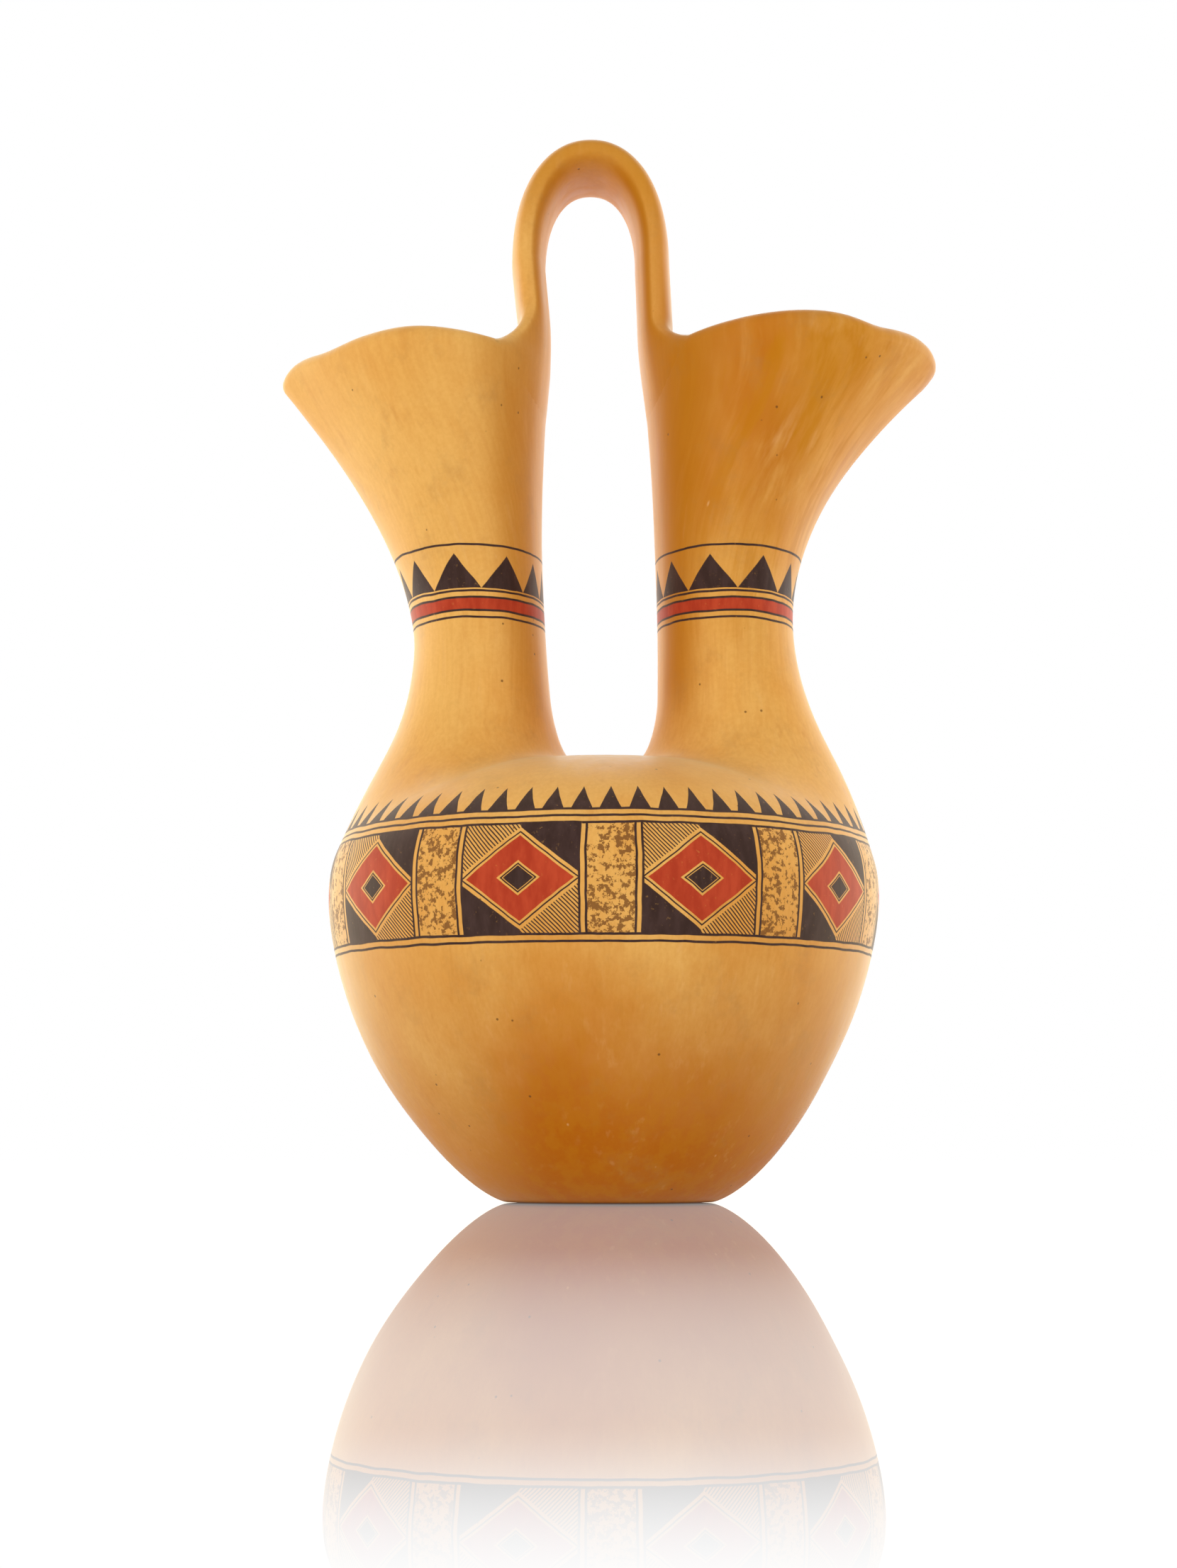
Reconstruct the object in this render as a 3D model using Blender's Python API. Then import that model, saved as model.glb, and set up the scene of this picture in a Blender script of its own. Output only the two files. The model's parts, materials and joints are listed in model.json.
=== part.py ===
"""A two-spouted wedding vase, modelled as the clay pieces that a potter builds it from.

A pressed pat is the foot. Coil courses raise the belly and the shoulder, and a bridge closes the middle of
the shoulder, so that two holes are left. A spout of root, neck, flared lip and rim coil stands on each hole,
and a strap handle stands on the two rims. Units are metres, +Z is up, and the front is -Y.
"""

import math
from collections import namedtuple

import bmesh
import bpy
import numpy as np

# Wall and joints
WALL = 0.0058  # thickness of every clay wall
JOINT_GAP = 0.0003  # slip line between two pieces
SCARF = 0.004  # rise of a slanted coil joint from the outer face to the inner face

# Foot and belly
FOOT_RADIUS = 0.0264  # flat ring that touches the table
BELLY_RADIUS = 0.0712
BELLY_HEIGHT = 0.077  # height of the widest ring
BELLY_LEAN = -0.0015  # sideways shift of the belly over the foot
SADDLE_HEIGHT = 0.1136  # top of the dome between the spouts
PAT_TOP = 0.0105  # top edge of the pressed foot
LOWER_TOP = 0.043
SHOULDER_RISE = 0.003  # from the widest ring up to the joint under the shoulder

# Oval holes in the dome, where the spouts start
LEFT_ROOT_INSET = 0.0020  # from the widest ring in to the hole's outer end
RIGHT_ROOT_INSET = 0.0010
ROOT_HALF_DEPTH = 0.040
LEFT_ROOT_REACH = 0.0085  # from the middle to the hole's inner end
RIGHT_ROOT_REACH = 0.0060
BRIDGE_ANGLE = math.radians(128)  # turn round each hole, from its outer end, where the bridge starts

# Spout sections, from the top of the root up
NECK_START = 0.130
NECK_SHARE = 0.57  # part of each spout, above its root, that is neck
RIM_COIL = 0.0085  # height of the last coil below the rim
NECK_HALF_DEPTH = 0.024
MOUTH_HALF_DEPTH = 0.0440

# Left spout, as distances from the middle
LEFT_WAIST_HEIGHT = 0.144
LEFT_WAIST_REACH = 0.0511
LEFT_NECK_SPREAD = 0.0016  # how much wider the neck is where it starts than at its waist
LEFT_TIP_REACH = 0.0858
LEFT_GAP_LOW = 0.0150  # inner side at the start of the neck
LEFT_GAP_MIDDLE = 0.0172
LEFT_GAP_RIM = 0.0141
LEFT_RIM_HEIGHT = 0.2142
LEFT_RIM_LIFT = 0.0005  # rise of the rim at its front and back
LEFT_TIP_DROP = 0.0025  # fall of the rim at the pouring tip

# Right spout
RIGHT_WAIST_HEIGHT = 0.150
RIGHT_WAIST_REACH = 0.0484
RIGHT_NECK_SPREAD = 0.0033
RIGHT_TIP_REACH = 0.0862
RIGHT_GAP_LOW = 0.0123
RIGHT_GAP_MIDDLE = 0.0118
RIGHT_GAP_RIM = 0.0073
RIGHT_RIM_HEIGHT = 0.2152
RIGHT_RIM_LIFT = 0.0032
RIGHT_TIP_DROP = -0.0018

# Handle
HANDLE_TOP = 0.2769
SPRING_HEIGHT = 0.247  # where the legs end and the arch starts
STRAP_WIDTH = 0.0365
LEFT_STRAP_THICKNESS = 0.0090
RIGHT_STRAP_THICKNESS = 0.0102
LEFT_STRAP_GAP = 0.0166  # from the middle to the inner face of a leg at the spring line
RIGHT_STRAP_GAP = 0.0064
LEFT_STRAP_FOOT = 0.0137  # the same at the rim
RIGHT_STRAP_FOOT = 0.0076
FOOT_FLARE = 0.004  # spread of each strap end on its rim
FOOT_FLARE_HEIGHT = 0.010

# Fullness of the curves, as powers
BELLY_POWER = 1.7
HEEL_POWER = 1.4
DOME_POWER = 2.5
LEFT_FLARE_POWER = 1.62
RIGHT_FLARE_POWER = 1.80
DEPTH_POWER = 1.7
ARCH_POWER = 2.45
STRAP_POWER = 2.5
LEFT_TIP_PINCH = 0.62  # how far the mouth narrows to its pouring tip
RIGHT_TIP_PINCH = 0.30
HOLE_PINCH = 0.35  # how far each hole narrows to its inner end

# Steepness of the root's curve where it leaves the dome and where it enters the neck
LEFT_ROOT_PULL = 1.5
RIGHT_ROOT_PULL = 1.7
INNER_ROOT_PULL = 0.6
ROOT_END_PULL = 1.0

# Flat part of each rim under the strap, as cosines of the turn from the rim's inner end
SEAT_EDGE = 0.62
SEAT_FULL = 0.82

# Mesh density
HOLE_SEGMENTS = 26  # along each hole, up to the bridge
BRIDGE_SEGMENTS = 2  # across each end of the bridge
SPOUT_SEGMENTS = 36
STRAP_SEGMENTS = 20
ARCH_SEGMENTS = 16
RIM_SEGMENTS = 4
PAT_ROWS = 5
COURSE_ROWS = 6
SHOULDER_ROWS = 7
BRIDGE_ROWS = 11
BRIDGE_COLUMNS = 7
ROOT_ROWS = 7
NECK_ROWS = 5
LIP_ROWS = 5
RIM_ROWS = 3
SHARP_ANGLE = math.radians(40)  # edges that turn by more than this are drawn sharp

# Fired clay, from the photo
CLAY = (0.72, 0.36, 0.10, 1.0)
CLAY_DARK = (0.50, 0.20, 0.04, 1.0)
CLAY_PALE = (0.80, 0.47, 0.18, 1.0)
CLAY_ROUGHNESS = 0.42

BELLY_TOP = BELLY_HEIGHT + SHOULDER_RISE
BODY_SEGMENTS = 2 * (HOLE_SEGMENTS + BRIDGE_SEGMENTS)
HALF_GAP = JOINT_GAP / 2
STEP = 1e-6  # for slopes

Spout = namedtuple(
    "Spout",
    "name side root_inset root_reach waist_height waist_reach neck_spread tip_reach gaps"
    " rim_height rim_lift tip_drop flare_power tip_pinch root_pull strap_gap strap_foot strap_thickness",
)
LEFT = Spout(
    "left", -1, LEFT_ROOT_INSET, LEFT_ROOT_REACH, LEFT_WAIST_HEIGHT, LEFT_WAIST_REACH, LEFT_NECK_SPREAD,
    LEFT_TIP_REACH, (LEFT_GAP_LOW, LEFT_GAP_MIDDLE, LEFT_GAP_RIM), LEFT_RIM_HEIGHT, LEFT_RIM_LIFT,
    LEFT_TIP_DROP, LEFT_FLARE_POWER, LEFT_TIP_PINCH, LEFT_ROOT_PULL, LEFT_STRAP_GAP, LEFT_STRAP_FOOT,
    LEFT_STRAP_THICKNESS,
)
RIGHT = Spout(
    "right", 1, RIGHT_ROOT_INSET, RIGHT_ROOT_REACH, RIGHT_WAIST_HEIGHT, RIGHT_WAIST_REACH,
    RIGHT_NECK_SPREAD, RIGHT_TIP_REACH, (RIGHT_GAP_LOW, RIGHT_GAP_MIDDLE, RIGHT_GAP_RIM), RIGHT_RIM_HEIGHT,
    RIGHT_RIM_LIFT, RIGHT_TIP_DROP, RIGHT_FLARE_POWER, RIGHT_TIP_PINCH, RIGHT_ROOT_PULL, RIGHT_STRAP_GAP,
    RIGHT_STRAP_FOOT, RIGHT_STRAP_THICKNESS,
)


def smooth(value, low, high):
    """0 below low, 1 above high, with an even S-curve between."""
    share = np.clip((value - low) / (high - low), 0, 1)
    return share * share * (3 - 2 * share)


def unit(vectors):
    return vectors / np.linalg.norm(vectors, axis=-1, keepdims=True)


def superellipse(angles, power):
    """Cosine and sine of a rounded box that gets squarer as the power grows."""
    cosine, sine = np.cos(angles), np.sin(angles)
    return (
        np.sign(cosine) * np.abs(cosine) ** (2 / power),
        np.sign(sine) * np.abs(sine) ** (2 / power),
    )


# Belly and dome


def body_radius(z):
    """Radius of the belly at a height, from the foot to the top of the dome."""
    if z < BELLY_HEIGHT:
        below = (BELLY_HEIGHT - z) / BELLY_HEIGHT
        share = (1 - below**BELLY_POWER) ** (1 / HEEL_POWER)
        return FOOT_RADIUS + (BELLY_RADIUS - FOOT_RADIUS) * share
    above = (z - BELLY_HEIGHT) / (SADDLE_HEIGHT - BELLY_HEIGHT)
    return BELLY_RADIUS * (1 - above**DOME_POWER) ** (1 / DOME_POWER)


def body_loop(z, depth=0.0):
    """A ring of the belly at a height, moved into the wall by a depth."""
    radius = body_radius(z)
    slope = (body_radius(z + STEP) - radius) / STEP
    length = math.hypot(1, slope)
    radius -= depth / length
    angles = (np.arange(BODY_SEGMENTS) - HOLE_SEGMENTS / 2) * 2 * math.pi / BODY_SEGMENTS
    x = BELLY_LEAN * smooth(z, 0, BELLY_HEIGHT / 2) + radius * np.cos(angles)
    return np.stack([x, radius * np.sin(angles), np.full_like(x, z + depth * slope / length)], axis=1)


def dome_height(x, y):
    share = (np.hypot(x - BELLY_LEAN, y) / BELLY_RADIUS) ** DOME_POWER
    return BELLY_HEIGHT + (SADDLE_HEIGHT - BELLY_HEIGHT) * (1 - share) ** (1 / DOME_POWER)


def dome_slopes(x, y):
    along = (dome_height(x + STEP, y) - dome_height(x - STEP, y)) / (2 * STEP)
    across = (dome_height(x, y + STEP) - dome_height(x, y - STEP)) / (2 * STEP)
    return along, across


def dome_points(x, y, depth=0.0):
    """Points of the dome over a plan, moved into the wall by a depth."""
    along, across = dome_slopes(x, y)
    normal = unit(np.stack([-along, -across, np.ones_like(along)], axis=-1))
    return np.stack([x, y, dome_height(x, y)], axis=-1) - depth * normal


def hole_plan(spout, angles, grow):
    """Plan of the oval hole under a spout. Angle 0 is its outer end."""
    outer = BELLY_RADIUS - spout.root_inset + spout.side * BELLY_LEAN
    middle = (outer + spout.root_reach) / 2
    half = (outer - spout.root_reach) / 2 + grow
    x = spout.side * (middle + half * np.cos(angles))
    narrowing = 1 - HOLE_PINCH * np.maximum(-np.cos(angles), 0) ** 2
    return x, (ROOT_HALF_DEPTH + grow) * narrowing * np.sin(angles)


def bridge_end(gap):
    """Turn round a hole where the bridge starts, moved by a gap along the vase's depth."""
    _, low = hole_plan(LEFT, BRIDGE_ANGLE - STEP, HALF_GAP)
    _, high = hole_plan(LEFT, BRIDGE_ANGLE + STEP, HALF_GAP)
    return BRIDGE_ANGLE + gap * 2 * STEP / (low - high)


def opening_plan():
    """Plan of the shoulder's inner edge: round both holes and straight past the bridge's ends."""
    end = bridge_end(-HALF_GAP)
    sweep = np.linspace(-end, end, HOLE_SEGMENTS + 1)
    right = np.stack(hole_plan(RIGHT, sweep, HALF_GAP), axis=1)
    left = np.stack(hole_plan(LEFT, -sweep, HALF_GAP), axis=1)
    shares = np.arange(1, BRIDGE_SEGMENTS)[:, None] / BRIDGE_SEGMENTS
    back = right[-1] + (left[0] - right[-1]) * shares
    front = left[-1] + (right[0] - left[-1]) * shares
    return np.concatenate([right, back, left, front])


# Spouts


def spout_angles():
    return np.arange(SPOUT_SEGMENTS) * 2 * math.pi / SPOUT_SEGMENTS


def through_three(values, share):
    """A parabola through values at 0, one half and 1."""
    low, middle, high = values
    bow = 4 * (middle - (low + high) / 2)
    return low + (high - low) * share + bow * share * (1 - share)


def outer_reach(spout, z):
    if z < spout.waist_height:
        below = (spout.waist_height - z) / (spout.waist_height - NECK_START)
        return spout.waist_reach + spout.neck_spread * below**2
    above = (z - spout.waist_height) / (spout.rim_height - spout.waist_height)
    return spout.waist_reach + (spout.tip_reach - spout.waist_reach) * above**spout.flare_power


def seat_share(angles):
    """1 where the strap stands on the rim, 0 on the rest of it."""
    return smooth(-np.cos(angles), SEAT_EDGE, SEAT_FULL)


def spout_points(spout, angles, share):
    """A section of a spout's outer face, at a share of the way from the start of the neck to the rim."""
    z = NECK_START + (spout.rim_height - NECK_START) * share
    outer = outer_reach(spout, z)
    inner = through_three(spout.gaps, share)
    depth = NECK_HALF_DEPTH + (MOUTH_HALF_DEPTH - NECK_HALF_DEPTH) * share**DEPTH_POWER
    outward = np.maximum(np.cos(angles), 0)
    narrowing = 1 - spout.tip_pinch * share**2 * outward**2
    x = spout.side * ((outer + inner) / 2 + (outer - inner) / 2 * np.cos(angles))
    wave = spout.rim_lift * np.sin(angles) ** 2 * (1 - seat_share(angles)) - spout.tip_drop * outward**3
    return np.stack([x, depth * narrowing * np.sin(angles), z + wave * share**3], axis=-1)


def root_points(spout, angles, share):
    """A section of the flowing root between its hole in the dome and the start of the neck."""
    x, y = hole_plan(spout, angles, -HALF_GAP)
    start = dome_points(x, y)
    end = spout_points(spout, angles, 0.0)
    span = np.linalg.norm(end - start, axis=1, keepdims=True)
    along, across = dome_slopes(x, y)
    into = np.stack([-spout.side * np.cos(angles), -np.sin(angles)], axis=1)
    climb = along * into[:, 0] + across * into[:, 1]
    leave = unit(np.concatenate([into, climb[:, None]], axis=1))
    enter = unit(spout_points(spout, angles, STEP) - end)
    pull = INNER_ROOT_PULL + (spout.root_pull - INNER_ROOT_PULL) * (1 + np.cos(angles[:, None])) / 2
    s = share
    return (
        (2 * s**3 - 3 * s**2 + 1) * start
        + (s**3 - 2 * s**2 + s) * pull * span * leave
        + (3 * s**2 - 2 * s**3) * end
        + (s**3 - s**2) * ROOT_END_PULL * span * enter
    )


def wall_loops(surface, spout, shares):
    """Outer loops at each share up a spout's surface, then inner loops back down."""
    angles = spout_angles()
    outer = [surface(spout, angles, share) for share in shares]
    inner = []
    for share, loop in zip(shares, outer):
        around = surface(spout, angles + STEP, share) - surface(spout, angles - STEP, share)
        up = surface(spout, angles, share + STEP) - surface(spout, angles, share - STEP)
        inner.append(loop - WALL * spout.side * unit(np.cross(around, up)))
    return outer + inner[::-1]


def rim_loops(spout, shares):
    """The last coil: its outer and inner faces and the round edge between, flat under the strap."""
    loops = wall_loops(spout_points, spout, shares)
    count = len(shares)
    outer, inner = loops[count - 1], loops[count]
    seat = seat_share(spout_angles())[:, None]
    inner[:, 2:] += (outer[:, 2:] - inner[:, 2:]) * seat
    up = unit(outer - loops[count - 2])
    edge = []
    for turn in np.arange(1, RIM_SEGMENTS) * math.pi / RIM_SEGMENTS:
        across = outer + (inner - outer) * (1 - math.cos(turn)) / 2
        edge.append(across + up * (1 - seat) * math.sin(turn) * WALL / 2)
    return loops[:count] + edge + loops[count:]


# Handle


def strap_path():
    """Middle line of the strap in the XZ plane, from the left rim over the arch to the right rim."""
    left = -LEFT.strap_gap - LEFT.strap_thickness / 2
    right = RIGHT.strap_gap + RIGHT.strap_thickness / 2
    middle_thickness = (LEFT.strap_thickness + RIGHT.strap_thickness) / 2
    rise = HANDLE_TOP - middle_thickness / 2 - SPRING_HEIGHT
    cosine, sine = superellipse(np.linspace(math.pi, 0, ARCH_SEGMENTS + 1), ARCH_POWER)
    arch = np.stack([(left + right) / 2 + (right - left) / 2 * cosine, SPRING_HEIGHT + rise * sine], axis=1)
    return np.concatenate([strap_leg(LEFT, left), arch, strap_leg(RIGHT, right)[::-1]])


def strap_leg(spout, spring):
    """Points up a leg from its seat on the rim, close together where the foot flares."""
    seat = spout.rim_height + JOINT_GAP
    foot = spout.side * (spout.strap_foot + spout.strap_thickness / 2)
    flare_top = seat + FOOT_FLARE_HEIGHT
    heights = np.array([seat, seat + FOOT_FLARE_HEIGHT / 3, flare_top, (flare_top + SPRING_HEIGHT) / 2])
    shares = (heights - seat) / (SPRING_HEIGHT - seat)
    return np.stack([foot + (spring - foot) * shares, heights], axis=1)


def strap_loops():
    """Sections of the strap along its middle line, spread where each end stands on a rim."""
    path = strap_path()
    tangents = unit(np.gradient(path, axis=0))
    tangents[0] = (0, 1)
    tangents[-1] = (0, -1)
    halves = np.linspace(LEFT.strap_thickness, RIGHT.strap_thickness, len(path)) / 2
    thick, wide = superellipse(np.arange(STRAP_SEGMENTS) * 2 * math.pi / STRAP_SEGMENTS, STRAP_POWER)
    loops = []
    for (x, z), (run, climb), half in zip(path, tangents, halves):
        seat = (LEFT if x < 0 else RIGHT).rim_height + JOINT_GAP
        spread = FOOT_FLARE * max(0.0, 1 - (z - seat) / FOOT_FLARE_HEIGHT) ** 2
        out = half * thick
        loops.append(np.stack([x - climb * out, (STRAP_WIDTH / 2 + spread) * wide, z + run * out], axis=1))
    return loops


# Meshes


def clay(name, colour):
    material = bpy.data.materials.new(name)
    material.use_nodes = True
    shader = material.node_tree.nodes["Principled BSDF"]
    shader.inputs["Base Color"].default_value = colour
    shader.inputs["Roughness"].default_value = CLAY_ROUGHNESS
    shader.inputs["Metallic"].default_value = 0.0
    return material


def loft(name, loops, colour, ends):
    """A solid through closed loops. Its ends are joined to each other, capped flat, or closed by a strip."""
    mesh = bmesh.new()
    rings = [[mesh.verts.new(point) for point in loop] for loop in loops]
    pairs = list(zip(rings, rings[1:]))
    if ends == "joined":
        pairs.append((rings[-1], rings[0]))
    for lower, upper in pairs:
        for i in range(len(lower)):
            mesh.faces.new((lower[i - 1], lower[i], upper[i], upper[i - 1]))
    for ring in (rings[0], rings[-1]):
        if ends == "capped":
            mesh.faces.new(ring)
        if ends == "strip":
            for i in range(len(ring) // 2 - 1):
                mesh.faces.new((ring[i], ring[i + 1], ring[-2 - i], ring[-1 - i]))
    bmesh.ops.recalc_face_normals(mesh, faces=mesh.faces)
    data = bpy.data.meshes.new(name)
    mesh.to_mesh(data)
    mesh.free()
    data.shade_smooth()
    data.set_sharp_from_angle(angle=SHARP_ANGLE)
    data.materials.append(clay(name + "_clay", colour))
    made = bpy.data.objects.new(name, data)
    bpy.context.scene.collection.objects.link(made)
    return made


def foot_pat():
    """Pressed disc with an upturned edge."""
    outer = [body_loop(z) for z in (PAT_TOP - HALF_GAP) * np.linspace(0, 1, PAT_ROWS) ** 2]
    heights = (PAT_TOP + SCARF - HALF_GAP) * np.linspace(1, 0, PAT_ROWS) ** 2
    inner = [body_loop(z, WALL) for z in heights]
    return loft("foot_pat", outer + inner, CLAY_DARK, "capped")


def coil_course(name, low, high, colour):
    """A ring of coils between two heights, with slanted joints."""
    heights = np.linspace(low + HALF_GAP, high - HALF_GAP, COURSE_ROWS)
    outer = [body_loop(z) for z in heights]
    inner = [body_loop(z + SCARF, WALL) for z in heights[::-1]]
    return loft(name, outer + inner, colour, "joined")


def shoulder():
    """The top course: a ring below, and the two holes and the bridge's ends above."""
    edge = opening_plan()
    outer = []
    inner = []
    for share in np.linspace(0, 1, SHOULDER_ROWS) ** 2:
        below = body_loop(BELLY_TOP + HALF_GAP)[:, :2]
        x, y = (below + (edge - below) * share).T
        outer.append(dome_points(x, y))
        below = body_loop(BELLY_TOP + HALF_GAP + SCARF)[:, :2]
        x, y = (below + (edge - below) * share).T
        inner.append(dome_points(x, y, WALL))
    return loft("shoulder_course", outer + inner[::-1], CLAY, "joined")


def bridge():
    """The slab between the two holes, over the top of the dome."""
    end = bridge_end(HALF_GAP)
    loops = []
    for angle in np.linspace(end, 2 * math.pi - end, BRIDGE_ROWS):
        left, y = hole_plan(LEFT, angle, HALF_GAP)
        right, _ = hole_plan(RIGHT, angle, HALF_GAP)
        x = np.linspace(left, right, BRIDGE_COLUMNS)
        level = np.full_like(x, y)
        loops.append(np.concatenate([dome_points(x, level), dome_points(x, level, WALL)[::-1]]))
    return loft("saddle_bridge", loops, CLAY, "strip")


def spout_pieces(spout):
    """Root, neck, flared lip and rim coil of one spout."""
    rise = spout.rim_height - NECK_START
    gap = HALF_GAP / rise
    coil = 1 - RIM_COIL / rise
    root_end = 1 - HALF_GAP / (NECK_START - SADDLE_HEIGHT)
    root_shares = np.linspace(0, root_end, ROOT_ROWS)
    neck_shares = np.linspace(gap, NECK_SHARE - gap, NECK_ROWS)
    lip_shares = np.linspace(NECK_SHARE + gap, coil - gap, LIP_ROWS)
    rim_shares = np.linspace(coil + gap, 1, RIM_ROWS)
    loft(f"{spout.name}_root", wall_loops(root_points, spout, root_shares), CLAY, "joined")
    loft(f"{spout.name}_neck", wall_loops(spout_points, spout, neck_shares), CLAY, "joined")
    loft(f"{spout.name}_lip", wall_loops(spout_points, spout, lip_shares), CLAY, "joined")
    loft(f"{spout.name}_rim_coil", rim_loops(spout, rim_shares), CLAY_PALE, "joined")


def main():
    for old in list(bpy.data.objects):
        bpy.data.objects.remove(old, do_unlink=True)
    foot_pat()
    coil_course("lower_course", PAT_TOP, LOWER_TOP, CLAY_DARK)
    coil_course("belly_course", LOWER_TOP, BELLY_TOP, CLAY)
    shoulder()
    bridge()
    spout_pieces(LEFT)
    spout_pieces(RIGHT)
    loft("handle_strap", strap_loops(), CLAY_PALE, "capped")


main()
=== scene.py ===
import json
import math

import bpy
import numpy as np
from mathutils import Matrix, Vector


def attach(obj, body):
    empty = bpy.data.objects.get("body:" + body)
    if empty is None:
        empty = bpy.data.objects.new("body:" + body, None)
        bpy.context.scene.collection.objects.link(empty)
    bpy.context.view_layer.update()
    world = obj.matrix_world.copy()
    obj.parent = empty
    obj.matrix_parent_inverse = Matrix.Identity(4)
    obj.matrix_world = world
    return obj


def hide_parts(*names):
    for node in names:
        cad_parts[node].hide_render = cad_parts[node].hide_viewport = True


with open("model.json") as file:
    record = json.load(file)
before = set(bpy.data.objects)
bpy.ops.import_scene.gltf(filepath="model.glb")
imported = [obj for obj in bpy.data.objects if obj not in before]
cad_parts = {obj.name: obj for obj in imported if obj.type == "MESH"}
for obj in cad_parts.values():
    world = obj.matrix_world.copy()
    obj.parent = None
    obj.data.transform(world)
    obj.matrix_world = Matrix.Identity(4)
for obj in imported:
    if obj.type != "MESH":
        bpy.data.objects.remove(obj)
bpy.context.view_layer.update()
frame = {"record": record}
print("frame loaded")

scene = bpy.context.scene
scene.view_settings.view_transform = "Standard"

# camera: a long lens, low on the table and tilted a little up
view = {"place": (-0.00535, -0.794, 0.013), "tilt": 96.8, "lens": 70.6, "sensor": 36.0}
cameraData = bpy.data.cameras.new("camera")
cameraData.sensor_fit = "VERTICAL"
cameraData.sensor_height = view["sensor"]
cameraData.lens = view["lens"]
cameraData.clip_start = 0.01
camera = bpy.data.objects.new("camera", cameraData)
camera.location = view["place"]
camera.rotation_euler = (math.radians(view["tilt"]), 0, 0)
scene.collection.objects.link(camera)
scene.camera = camera
print("camera set")


def smooth(value, low, high):
    share = np.clip((value - low) / (high - low), 0, 1)
    return share * share * (3 - 2 * share)


def unit(vectors):
    return vectors / np.linalg.norm(vectors, axis=-1, keepdims=True)


def superellipse(angles, power):
    cosine, sine = np.cos(angles), np.sin(angles)
    return (
        np.sign(cosine) * np.abs(cosine) ** (2 / power),
        np.sign(sine) * np.abs(sine) ** (2 / power),
    )


def hermite(start, leave, end, arrive, share):
    s = share
    return (
        (2 * s**3 - 3 * s**2 + 1) * start
        + (s**3 - 2 * s**2 + s) * leave
        + (3 * s**2 - 2 * s**3) * end
        + (s**3 - s**2) * arrive
    )


# small step for slopes and normals
step = 1e-6

# belly: the potter's wall and the rings of the jar
jar = {
    "wall": 0.0058,
    "foot": 0.0264,
    "belly": 0.0712,
    "bellyHeight": 0.077,
    "lean": -0.0015,
    "saddle": 0.1136,
    "patTop": 0.0105,
    "lowerTop": 0.043,
    "bellyTop": 0.080,
    "bellyPower": 1.7,
    "heelPower": 1.4,
    "domePower": 2.5,
    "holeSteps": 72,
    "bridgeSteps": 6,
    "bridgeRows": 30,
    "bridgeTurn": math.radians(128),
    "holeDepth": 0.040,
    "holePinch": 0.35,
}
ringCount = 2 * (jar["holeSteps"] + jar["bridgeSteps"])


def bodyRadius(z):
    if z < jar["bellyHeight"]:
        below = (jar["bellyHeight"] - z) / jar["bellyHeight"]
        share = (1 - below ** jar["bellyPower"]) ** (1 / jar["heelPower"])
        return jar["foot"] + (jar["belly"] - jar["foot"]) * share
    above = (z - jar["bellyHeight"]) / (jar["saddle"] - jar["bellyHeight"])
    return jar["belly"] * (1 - above ** jar["domePower"]) ** (1 / jar["domePower"])


def bodyRing(z, share=1.0):
    angles = (np.arange(ringCount) - jar["holeSteps"] / 2) * 2 * math.pi / ringCount
    radius = bodyRadius(z) * share
    x = jar["lean"] * smooth(z, 0, jar["bellyHeight"] / 2) + radius * np.cos(angles)
    return np.stack([x, radius * np.sin(angles), np.full_like(x, z)], axis=1)


def domeHeight(x, y):
    share = (np.hypot(x - jar["lean"], y) / jar["belly"]) ** jar["domePower"]
    return jar["bellyHeight"] + (jar["saddle"] - jar["bellyHeight"]) * (1 - share) ** (1 / jar["domePower"])


def domeSlopes(x, y):
    along = (domeHeight(x + step, y) - domeHeight(x - step, y)) / (2 * step)
    across = (domeHeight(x, y + step) - domeHeight(x, y - step)) / (2 * step)
    return along, across


def domePoints(x, y):
    return np.stack([x, y, domeHeight(x, y)], axis=-1)


# spouts, in metres from the middle; the left one's notes hold for both
leftSpout = {
    "side": -1,
    "inset": 0.0020,  # hole's outer end, in from the belly's ring
    "reach": 0.0085,  # hole's inner end
    "waistHeight": 0.144,
    "waist": 0.0511,
    "spread": 0.0016,  # added to the waist at the neck's foot
    "tip": 0.0860,
    "gaps": (0.0150, 0.0172, 0.0156),  # gap wall: neck's foot, half way, rim
    "rim": 0.2143,
    "lift": 0.00135,  # rim's rise at the sides
    "drop": -0.0016,  # rim's fall towards the tip
    "tipDrop": 0.00455,  # rim's fall at the nose
    "nose": 11.5,  # higher: a shorter nose
    "blunt": 0.0004,  # how far the nose is rounded back
    "bluntStart": 0.887,
    "flare": 1.60,
    "pinch": 0.577,  # narrowing towards the tip
    "beak": 0.99,
    "pull": 1.5,  # how far the root flows out on the shoulder
    "sag": 0.0012,  # dip of the rim between crest and nose
    "sagAt": 0.68,
    "sagWide": 0.20,
    "strapGap": 0.0166,  # strap's inner face where the arch springs
    "strapFoot": 0.0137,  # and at the rim
    "strapThick": 0.0090,
    "filletTurn": 0.88,  # how far the strap's foot runs round the rim
    "filletRise": 0.018,
    "filletPull": 0.80,
}
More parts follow.
